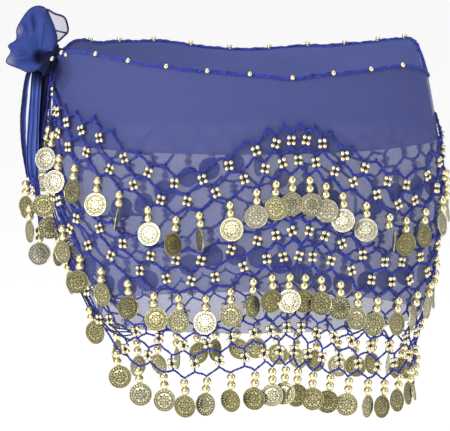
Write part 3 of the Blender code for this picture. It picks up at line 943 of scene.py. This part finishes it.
def add_coin(bm, centre, facing, down, tone):
    """A copy of the coin in a bmesh, turned as given. Its tone runs from tarnished to bright: real tarnish,
    and at its top a painted highlight on coins turned to the lamp.
    """
    z = facing.normalized()
    y = -(down - z * down.dot(z)).normalized()
    turned = Matrix((y.cross(z), y, z)).transposed().to_4x4()
    copy = COIN_MESH.copy()
    copy.transform(Matrix.Translation(centre) @ turned)
    shade = bm.verts.layers.float.get("tone") or bm.verts.layers.float.new("tone")
    before = len(bm.verts)
    bm.from_mesh(copy)
    bpy.data.meshes.remove(copy)
    bm.verts.ensure_lookup_table()
    for vert in bm.verts[before:]:
        vert[shade] = tone


# %% [markdown]
# A drop is two round beads on a thread, then the coin. On the cloth it leans out just enough to
# clear the next net. Below the hem it hangs free, so each coin is turned by a different amount.

# %% How a drop hangs
DROP_BEAD = 3.9
BEAD_DROPS = (4.4, 11.6)
BEAD_OUT, BEAD_STRAY = 1.6, 0.7
COIN_DROP = 25.6
SEWN_CLEAR, FREE_CLEAR = 4.2, 1.0
COIN_OUT, OVERLAP, TURN_ROOM, SWING = 1.8, 0.9, 4.5, 1.6
SEWN_TURN, FREE_TURN = 16.0, 34.0
TURNED_SHARE, TURNED_MOST = 0.2, (48.0, 76.0)
TILT_RANGE, TONE_RANGE = (-6.0, 12.0), (0.1, 0.7)
# The pale tone is a painted highlight on the coins turned to the lamp.
BRIGHT_SHARE, PAINTED_GLINT_TONE = 0.08, 0.72
FACING_EDGE = 82.0
DARK_EDGE, BRIGHT_EDGE = 24.0, 62.0
SIDE_REACH = 34.0
LAST_DROP_SINK = 24.0
GLINT = Vector((-0.28, -0.92, 0.27))

chance = random.Random(11)


def towards_viewer(station, out):
    """Coins beside the knot swing round to face the front."""
    near = window(from_knot(station), 0.0, FACING_EDGE)
    return (out * (1.0 - near) + FRONT * near).normalized()


def coin_turn(most):
    """How far a coin is turned on its thread: most a little, some nearly edge-on."""
    if chance.random() < TURNED_SHARE:
        return math.copysign(math.radians(chance.uniform(*TURNED_MOST)), chance.uniform(-1.0, 1.0))
    return math.radians(chance.uniform(-most, most))


def hang_down(station, height, root, clear):
    """The direction in which a drop hangs from its root."""
    down = skin(station, height - COIN_DROP, clear) - root
    down.z = -COIN_DROP
    return down.normalized()


print("a drop is", COIN_DROP, "mm from the cord to the coin's middle")

# %% [markdown]
# Now the drops themselves, all from one row of random numbers, so they never change between runs.
# A few coins on the front, above all the ones beside the knot, are turned to catch the lamp, and their
# pale tone is a painted highlight as well. Neighbours lie at two distances, so that they overlap as real
# ones do.

# %% Coin drops
for (side, tier), places in COINS.items():
    coin_bm, bead_bm = bmesh.new(), bmesh.new()
    free = tier == "lower"
    for number, (station, height) in enumerate(places):
        edge = from_knot(station)
        height -= LAST_DROP_SINK if edge < PITCH else 0.0
        out = outward(station, height)
        root = skin(station, height, CORD_OUT)
        down = hang_down(station, height, root, FREE_CLEAR if free else SEWN_CLEAR)
        along = Vector((-out.y, out.x, 0.0))
        for drop in BEAD_DROPS:
            stray = along * chance.uniform(-BEAD_STRAY, BEAD_STRAY)
            bead(bead_bm, root + down * drop + out * BEAD_OUT + stray, DROP_BEAD, LARGE)
        turn = coin_turn(FREE_TURN if free else SEWN_TURN)
        tilt = math.radians(chance.uniform(*TILT_RANGE))
        at_side = abs(station - SIDE)
        if at_side < SIDE_REACH:
            turn = 0.0
        flat = out if edge < PITCH else towards_viewer(station, out)
        across = Vector((-flat.y, flat.x, 0.0))
        facing = flat * math.cos(turn) + across * math.sin(turn)
        facing = facing * math.cos(tilt) + UP * math.sin(tilt)
        tone = chance.uniform(*TONE_RANGE)
        lucky = chance.random() < BRIGHT_SHARE and at_side > SIDE_REACH
        beside_knot = tier == "upper" and DARK_EDGE < edge < BRIGHT_EDGE
        # Coins turned to the lamp also get a pale tone: a painted highlight.
        if side == "front" and (lucky or beside_knot):
            facing = (GLINT + out * 0.3).normalized()
            tone = PAINTED_GLINT_TONE
        inward = COIN / 2 * math.sqrt(max(0.0, 1.0 - facing.dot(out) ** 2))
        room = 0.0 if free else max(0.0, inward - TURN_ROOM)
        clear = COIN_OUT + OVERLAP * (number % 2) + room
        sway = along * chance.uniform(-SWING, SWING)
        add_coin(coin_bm, root + down * COIN_DROP + out * clear + sway, facing, down, tone)
    dress(link_mesh(f"coin_row_{side}_{tier}", coin_bm, False), COIN_METAL, "coins", f"coins_{side}_{tier}")
    dress(link_mesh(f"drop_beads_{side}_{tier}", bead_bm), BEAD_GOLD, "coins")

# %% [markdown]
# The rim is edged with the same crochet, a thicker cord with a small bead on it every few stitches.

# %% Rim cords and their beads
RIM_BEAD = 2.35
RIM_LIFT = 1.2
RIM_STEP = 6.0
RIM_OUT = -0.1
RUFFLE = (
    # rise, length
    (0.4, 3.1),
    (0.3, 7.7),
)
RIM_BEADS = {
    # first station, spacing, how many, rise above the cord, distance out
    "front": (75.0, 40.5, 9, 0.6, 1.5),
    "back": (516.0, 39.7, 10, 2.2, -0.4),
}
KNOT_BEADS = ((-163.8, -20.0, 9.0), (-159.3, -24.0, 7.8), (-171.9, -20.5, 3.6))

rim_beads = bmesh.new()
for side, start, end in STRETCHES:
    count = round((end - start) / RIM_STEP)
    places = []
    for k in range(count + 1):
        station = start + (end - start) * k / count
        ruffle = sum(rise * math.sin(station / length) for rise, length in RUFFLE)
        places.append((station, rim_height(station) + RIM_LIFT + ruffle))
    cord = cords(f"rim_{side}", [route_points(places, RIM_OUT)], 0.95, 1.2, 5.0, 3)
    dress(cord, ROYAL_YARN, "crochet", f"rim_cord_{side}")
    first, spacing, beads, rise, reach = RIM_BEADS[side]
    for station in (first + spacing * k for k in range(beads)):
        bead(rim_beads, skin(station, rim_height(station) + RIM_LIFT + rise, reach), RIM_BEAD, LARGE)
for place in KNOT_BEADS:
    bead(rim_beads, Vector(place), RIM_BEAD, LARGE)
dress(link_mesh("rim_beads", rim_beads), BEAD_GOLD, "coins")

# %% [markdown]
# Above the knot one end of the scarf is pulled through and puffs out, like the bowl of a spoon
# whose cloth runs together in a pit, which is painted dark as shade. It is a pouch: its front swells
# towards the viewer, its back away, and both meet in the outline, which is one closed curve through a short
# table.

# %% The puffed end above the knot
PIT = Vector((-183.5, -3.0, 3.5))
PUFF_EDGE = (
    # right of the pit, above it
    (-9.0, -14.0),
    (-19.0, -10.5),
    (-28.5, -6.5),
    (-30.0, -3.0),
    (-26.0, 4.5),
    (-28.0, 10.0),
    (-21.0, 15.5),
    (-20.5, 24.5),
    (-16.0, 33.5),
    (-9.0, 42.5),
    (-1.0, 45.5),
    (6.0, 42.5),
    (10.5, 33.0),
    (14.0, 23.5),
    (15.5, 12.5),
    (12.0, 0.0),
    (3.0, -9.0),
)
PUFF_DEPTH = 15.0
PUFF_FOLDS = (
    # share of the way round, half width, depth, reach at its middle, half length
    (0.485, 0.030, -3.6, 0.80, 0.26),
    (0.52, 0.030, 3.0, 0.80, 0.28),
    (0.55, 0.030, -3.4, 0.74, 0.30),
    (0.63, 0.050, 2.0, 0.55, 0.50),
    (0.33, 0.050, -1.6, 0.60, 0.40),
    (0.25, 0.045, 1.6, 0.75, 0.30),
    (0.12, 0.060, -2.0, 0.55, 0.50),
    (0.84, 0.045, -1.8, 0.40, 0.45),
    (0.92, 0.040, 1.6, 0.45, 0.40),
)
PUFF_STEPS = 120
PUFF_MESH, PUFF_FLAT = (210.0, 90.0), (0.10, 0.066)
SEAM_GAP = 0.02


def around(points, share):
    """A point of the smooth closed curve through the table's points."""
    count = len(points)
    at = share * count
    k = int(at) % count
    t = at - int(at)
    p0, p1, p2, p3 = (Vector(points[(k + shift) % count]) for shift in (-1, 0, 1, 2))
    return (
        p1
        + (p2 - p0) * (t / 2)
        + (p0 * 2 - p1 * 5 + p2 * 4 - p3) * (t * t / 2)
        + (p1 * 3 - p0 - p2 * 3 + p3) * (t**3 / 2)
    )


def puff_place(share, through):
    """From the pit over the front to the edge, and back behind to the pit."""
    reach = 1.0 - abs(2.0 * through - 1.0)
    edge = around(PUFF_EDGE, share)
    side = -1.0 if through < 0.5 else 1.0
    swell = PUFF_DEPTH * reach**0.7 * math.sqrt(max(0.0, 1.0 - reach**2.2))
    for at, half, depth, middle, length in PUFF_FOLDS:
        swell += depth * window(share, at, half) * window(reach, middle, length)
    return PIT + Vector((edge.x * reach, side * swell, edge.y * reach))


def closed_cloth(name, width, depth, place, step):
    """A sheet whose two side edges meet in a seam, which is closed."""
    made = cloth(name, width, depth, place, step)
    bm = bmesh.new()
    bm.from_mesh(made.data)
    bmesh.ops.remove_doubles(bm, verts=bm.verts, dist=SEAM_GAP * MM)
    bmesh.ops.recalc_face_normals(bm, faces=bm.faces)
    bm.to_mesh(made.data)
    bm.free()
    return made


def hem(name, places, radius):
    """A rolled hem along an edge, given as points in space."""
    rolled = cords(name, [[(point, FRONT) for point in places]], radius, 0.0, plies=1)
    dress(rolled, NAVY_YARN, "chiffon")


puff = closed_cloth("puffed_end", *PUFF_MESH, puff_place, 1.8)
dress(puff, PUFFED, "chiffon", "bow")
hem("puffed_end_hem", [puff_place(k / PUFF_STEPS, 0.5) for k in range(PUFF_STEPS + 1)], 0.55)

# %% [markdown]
# Beside it a loop of single cloth shows pale, because nothing lies behind it. Its outline is dark
# where the rolled hem runs round it.

# %% The loop beside the puffed end
LOOP_EDGE = (
    # right of the pit, above it
    (6.0, 42.0),
    (13.5, 38.5),
    (21.5, 35.5),
    (24.5, 29.0),
    (25.0, 22.5),
    (21.5, 18.5),
    (15.5, 14.0),
    (12.5, 21.0),
    (9.0, 31.0),
)
LOOP_MIDDLE = (16.5, 28.0)
LOOP_SWELL = 6.0
LOOP_MESH, LOOP_FLAT = (75.0, 14.0), (0.026, 0.022)
TURN_UP = (Vector((12.5, -1.5, 24.0)), Vector((23.5, -1.5, 21.5)))


def loop_place(share, reach):
    edge = around(LOOP_EDGE, share)
    x = LOOP_MIDDLE[0] + (edge.x - LOOP_MIDDLE[0]) * reach
    z = LOOP_MIDDLE[1] + (edge.y - LOOP_MIDDLE[1]) * reach
    return PIT + Vector((x, -LOOP_SWELL * (1.0 - reach * reach) + 1.0, z))


def line(start, end, steps):
    """Points from a start to an end."""
    return [start.lerp(end, k / steps) for k in range(steps + 1)]


side_loop = closed_cloth("side_loop_cloth", *LOOP_MESH, loop_place, 1.6)
dress(side_loop, PANE, "chiffon", "side_loop")
hem("side_loop_hem", [loop_place(k / PUFF_STEPS, 1.0) for k in range(PUFF_STEPS + 1)], 1.0)
hem("side_loop_turn_up", [PIT + point for point in line(*TURN_UP, 8)], 0.9)

# %% [markdown]
# The knot itself is cloth pulled tight, and its near-black colour is painted shade of the deep gathers.
# Its gathers run out from its middle, so a ball with a ripple in its radius gives them.

# %% The knot
KNOT_CENTRE = Vector((-174.0, -3.0, 0.5))
KNOT_SIZE = Vector((7.6, 15.0, 15.5))
KNOT_LEAN = Matrix.Rotation(math.radians(30.0), 3, "Y")
KNOT_GATHERS, GATHER_DEPTH = 9, 0.07

bm = bmesh.new()
bmesh.ops.create_uvsphere(bm, u_segments=96, v_segments=40, radius=1.0)
for vert in bm.verts:
    angle = math.atan2(vert.co.z, vert.co.x)
    ripple = math.cos(KNOT_GATHERS * vert.co.x + 2.0 * vert.co.z + 0.5 * math.sin(3.0 * angle))
    size = 0.96 + GATHER_DEPTH * ripple
    vert.co = KNOT_LEAN @ Vector(s * c * size for s, c in zip(KNOT_SIZE, vert.co)) + KNOT_CENTRE
dress(link_mesh("tied_knot", bm), SHADED_TIGHT, "chiffon", "knot")

# %% [markdown]
# The other end hangs as two strips, pleated lengthwise, and beside them a strip of gathered cloth whose
# near-black colour is painted shade. The pleats are a cosine across the strip, shallower at the foot,
# where the cloth is drawn together in a ball of yarn.

# %% The hanging end
TAILS = (
    # (name, finish, solids, pleats, width along the mesh, flat size),
    # rows of (depth below the waist, x, y, half width, half depth)
    (
        ("tail", HANGING, ("tail",), 3, 60.0, (0.026, 0.112)),
        (
            (0.0, -184.0, 3.0, 5.0, 1.3),
            (14.0, -186.3, -1.0, 4.8, 1.4),
            (31.0, -188.0, -3.0, 4.6, 1.4),
            (54.0, -189.6, -3.0, 4.8, 1.4),
            (72.0, -190.4, -3.0, 5.4, 1.4),
            (92.0, -190.6, -2.6, 5.4, 1.4),
            (105.0, -190.0, -2.0, 4.2, 1.4),
            (112.0, -189.5, -1.6, 3.2, 1.2),
        ),
    ),
    (
        ("tail_slim", HANGING, ("tail_slim",), 1, 16.0, (0.015, 0.11)),
        (
            (4.0, -190.0, 5.0, 1.8, 2.0),
            (16.0, -194.8, 6.5, 2.0, 2.6),
            (40.0, -198.2, 7.0, 2.1, 3.0),
            (56.0, -199.3, 6.6, 2.2, 3.0),
            (80.0, -198.2, 5.0, 2.0, 2.8),
            (106.0, -194.0, 2.0, 1.8, 2.0),
        ),
    ),
    (
        # Gathered cloth beside the tail, near black: painted shade.
        ("tail_shade_strip", SHADED_TIGHT, (), 2, 24.0, (0.016, 0.096)),
        (
            (2.0, -176.5, 1.0, 8.0, 1.8),
            (19.0, -176.4, 1.0, 6.4, 1.8),
            (34.0, -180.0, 1.0, 5.0, 1.8),
            (54.0, -182.8, 1.0, 4.0, 1.6),
            (77.0, -184.6, 1.0, 2.8, 1.6),
            (98.0, -186.0, 0.5, 2.0, 1.2),
        ),
    ),
)
FINE_PLEATS, FINE_DEPTH = 7.0, 0.5
EDGING_STEPS = 60
THREAD = (0.5, 0.4, 4.5)

for (name, look, solids, pleats, width, flat_size), rows in TAILS:
    top, foot = rows[0][0], rows[-1][0]

    def tail_place(across, up):
        at = foot + (top - foot) * up
        x, y, half, deep = (smooth(rows, at, column) for column in (1, 2, 3, 4))
        uneven = across + 0.06 * math.sin(FULL_TURN * across)
        wave = math.cos(FULL_TURN * pleats * uneven + 0.6 * math.sin(at / 11.0))
        fine = FINE_DEPTH * math.sin(FULL_TURN * FINE_PLEATS * across + at / 9.0)
        return Vector((x + half * (2.0 * across - 1.0), y - deep * wave + fine, -at))

    strip = cloth(f"{name}_cloth", width, foot - top, tail_place, step=1.3)
    dress(strip, look, "chiffon", *solids)
    if name == "tail_slim":
        edging = [(tail_place(0.0, 1.0 - k / EDGING_STEPS), FRONT) for k in range(EDGING_STEPS + 1)]
        dress(cords(f"{name}_edging", [edging], *THREAD), NAVY_YARN, "crochet")

# %% [markdown]
# Below the strips the crochet runs on as a thick cord with a ball of yarn at its top, beads, a
# flower and a cluster of coins.

# %% The foot of the hanging end
TAIL_CORD = (
    # x, y, height
    (-187.5, -2.5, -108.0),
    (-186.5, -3.0, -118.0),
    (-185.5, -3.0, -130.0),
    (-184.0, -3.0, -142.0),
    (-183.0, -3.0, -154.0),
)
TAIL_COINS = (
    # x, y, height of the coin's middle, turn, row of the cord that carries it, tone
    (-196.8, -3.6, -132.6, -50.0, 0, 0.30),
    (-193.5, -7.0, -154.0, -66.0, 2, 0.54),
    (-175.5, -11.0, -150.0, 10.0, 2, 0.54),
    (-167.5, -3.0, -176.0, 60.0, 3, 0.66),
    (-185.0, -3.0, -175.0, 15.0, 4, 0.78),
)
TAIL_BEADS = (3.4, 10.6)
TAIL_FLOWER = Vector((-193.0, -6.0, -117.0))
TAIL_FLOWER_REACH = (2.4, 2.7)
YARN_BALL = (Vector((-189.0, -4.5, -109.5)), 4.6)

route, threads, coin_bm, bead_bm = [], [], bmesh.new(), bmesh.new()
for start, end in zip(TAIL_CORD, TAIL_CORD[1:]):
    route += [(point, FRONT) for point in line(Vector(start), Vector(end), 8)[:-1]]
for x, y, height, turn, row, tone in TAIL_COINS:
    centre, root = Vector((x, y, height)), Vector(TAIL_CORD[row])
    threads.append([(point, FRONT) for point in line(root, centre + UP * (COIN / 2 + 1.0), 6)])
    facing = Vector((math.sin(math.radians(turn)), -math.cos(math.radians(turn)), 0.0))
    add_coin(coin_bm, centre, facing, -UP, tone)
    for lift in TAIL_BEADS:
        bead(bead_bm, centre + UP * (COIN / 2 + lift), DROP_BEAD, LARGE)
for right, up in SQUARE:
    reach = Vector((TAIL_FLOWER_REACH[0] * right, 0.0, TAIL_FLOWER_REACH[1] * up))
    bead(bead_bm, TAIL_FLOWER + reach, FLOWER_BEAD)
dress(cords("tail_cord", [route], 1.5, 1.3, 9.0, 3), ROYAL_YARN, "crochet")
dress(cords("tail_threads", threads, 0.6, 0.4, 4.5), ROYAL_YARN, "crochet")
dress(link_mesh("tail_coins", coin_bm, False), COIN_METAL, "coins", "coins_tail")
dress(link_mesh("tail_beads", bead_bm), BEAD_GOLD, "coins")

bm = bmesh.new()
bmesh.ops.create_uvsphere(bm, u_segments=40, v_segments=24, radius=1.0)
for vert in bm.verts:
    wound = math.sin(9.0 * vert.co.z + 3.0 * math.atan2(vert.co.y, vert.co.x))
    vert.co = YARN_BALL[0] + vert.co * YARN_BALL[1] * (0.94 + 0.06 * wound)
dress(link_mesh("yarn_ball", bm), ROYAL_YARN, "crochet")

# %% [markdown]
# Along both lower edges near the knot the net's cords run together in a bundle before they spread
# over the cloth.

# %% Bundles of cords beside the knot
BUNDLE = (
    # gap below the hem, distance out
    (1.0, 1.5),
    (3.5, 3.0),
    (6.0, 1.0),
    (8.0, 2.6),
)
BUNDLE_START, BUNDLE_END = 10.0, 118.0
BUNDLE_STEPS = 24

bundle = []
for drop, out in BUNDLE:
    for mirror in (False, True):
        places = []
        for k in range(BUNDLE_STEPS + 1):
            edge = BUNDLE_START + (BUNDLE_END - BUNDLE_START) * k / BUNDLE_STEPS
            station = GIRTH - edge if mirror else edge
            sag = drop * (1.0 + 0.25 * math.sin(edge / 7.0 + 2.0 * drop))
            places.append((station, hem_height(station) - sag))
        bundle.append(route_points(places, out))
dress(cords("edge_bundle", bundle, 0.5, 0.4, 5.0), NAVY_YARN, "crochet")

# %% [markdown]
# The net's own ends are gathered and hang down between the hanging end and the hip. Five thick
# cords that wave a little give that stringy edge.

# %% Gathered ends of the net
SIDE_CORDS = (
    # depth below the waist, x, spread
    (10.0, -172.0, 1.5),
    (30.0, -174.5, 3.2),
    (52.0, -177.5, 3.8),
    (74.0, -178.0, 4.2),
    (96.0, -175.5, 4.0),
    (120.0, -171.0, 3.5),
)
SIDE_COUNT, SIDE_STEPS = 5, 55
SIDE_DEPTHS = (2.0, 0.8)
SIDE_WAVE = 0.8

side_cords = []
for k in range(SIDE_COUNT):
    points = []
    for step in range(SIDE_STEPS + 1):
        at = SIDE_CORDS[0][0] + (SIDE_CORDS[-1][0] - SIDE_CORDS[0][0]) * step / SIDE_STEPS
        x, spread = smooth(SIDE_CORDS, at, 1), smooth(SIDE_CORDS, at, 2)
        wave = SIDE_WAVE * math.sin(at / 7.0 + 1.9 * k)
        points.append((Vector((x + spread * (k - 2.0) / 2.0 + wave, SIDE_DEPTHS[k % 2], -at)), FRONT))
    side_cords.append(points)
dress(cords("side_cords", side_cords, 0.8, 0.9, 4.6), ROYAL_YARN, "crochet")

# %% [markdown]
# A wide pale floor lies well below the scarf and fills the view behind it, as the paper does in a
# shop's photograph, so no backdrop is needed. It glows a little, so that no shadow greys it.

# %% Floor
FLOOR_LEVEL, FLOOR_SIZE, FLOOR_GLOW = -0.95, 30.0, 0.42

bm = bmesh.new()
bmesh.ops.create_grid(bm, x_segments=1, y_segments=1, size=FLOOR_SIZE)
bmesh.ops.translate(bm, vec=(0.0, 0.0, FLOOR_LEVEL), verts=bm.verts)
floor_mesh = bpy.data.meshes.new("floor")
bm.to_mesh(floor_mesh)
bm.free()
floor = add_object("floor", floor_mesh)
floor_paint, _, floor_shader = finish("floor_paint", (0.93, 0.93, 0.93), 0.9)
set_inputs(floor_shader, {"Emission Color": (1.0, 1.0, 1.0, 1.0), "Emission Strength": FLOOR_GLOW})
floor_mesh.materials.append(floor_paint)
print("floor at", FLOOR_LEVEL, "m")

# %% [markdown]
# The light is a studio's: a large soft lamp from the front left, a weak one from the right and one
# above. The sky is dark just over the horizon and pale higher up, so the gold has something to
# mirror. Every light aims at the middle of the scarf.

# %% Studio light
SKY_LEVELS = (
    # rise, grey
    (0.06, 0.16),
    (0.5, 0.75),
)
HORIZON_GREY, SKY_STRENGTH = 0.85, 0.7
LIGHTS = (
    # name, place, size, watts
    ("front_light", (-1.5, -2.1, 0.9), (2.2, 1.0), 60.0),
    ("side_light", (2.3, -0.6, 0.6), (0.8, 1.2), 14.0),
    ("top_light", (0.0, 0.6, 2.4), (2.0, 2.0), 30.0),
)
LIGHT_AIM = Vector((0.0, 0.0, -0.12))

scene = bpy.context.scene
scene.world = bpy.data.worlds.new("studio")
scene.world.use_nodes = True
sky = scene.world.node_tree
background = sky.nodes["Background"]
background.inputs["Strength"].default_value = SKY_STRENGTH
rise = node(sky, "ShaderNodeSeparateXYZ")
sky.links.new(node(sky, "ShaderNodeTexCoord").outputs["Generated"], rise.inputs["Vector"])
greys = node(sky, "ShaderNodeValToRGB")
stops = greys.color_ramp.elements
stops[0].color = (HORIZON_GREY, HORIZON_GREY, HORIZON_GREY, 1.0)
for place, grey in SKY_LEVELS:
    stops.new(place).color = (grey, grey, grey, 1.0)
sky.links.new(rise.outputs["Z"], greys.inputs[0])
sky.links.new(greys.outputs["Color"], background.inputs["Color"])
for name, place, size, watts in LIGHTS:
    lamp = bpy.data.lights.new(name, "AREA")
    lamp.shape = "RECTANGLE"
    lamp.size, lamp.size_y = size
    lamp.energy = watts
    light = add_object(name, lamp)
    light.location = place
    light.rotation_euler = (LIGHT_AIM - Vector(place)).to_track_quat("-Z", "Y").to_euler()
scene.view_settings.view_transform = "Standard"
scene.cycles.transparent_max_bounces = 32
print("lights:", [light[0] for light in LIGHTS])

# %% [markdown]
# The photograph was taken from a little above and from far off, so the camera has a long lens and
# stands 4 m away. Its frame is set in millimetres at the scarf, as wide as the photograph's.

# %% Camera
CAMERA_RISE = math.radians(8.5)
CAMERA_DISTANCE = 4000.0
FRAME_WIDTH = 405.0
SENSOR_WIDTH = 36.0
AIM = Vector((-18.0, 0.0, -140.6))

camera_data = bpy.data.cameras.new("camera")
camera_data.sensor_width = SENSOR_WIDTH
camera_data.lens = SENSOR_WIDTH * CAMERA_DISTANCE / FRAME_WIDTH
camera = add_object("camera", camera_data)
camera.location = (AIM + Vector((0, -math.cos(CAMERA_RISE), math.sin(CAMERA_RISE))) * CAMERA_DISTANCE) * MM
camera.rotation_euler = (math.pi / 2 - CAMERA_RISE, 0.0, 0.0)
scene.camera = camera
print("lens:", round(camera_data.lens), "mm")
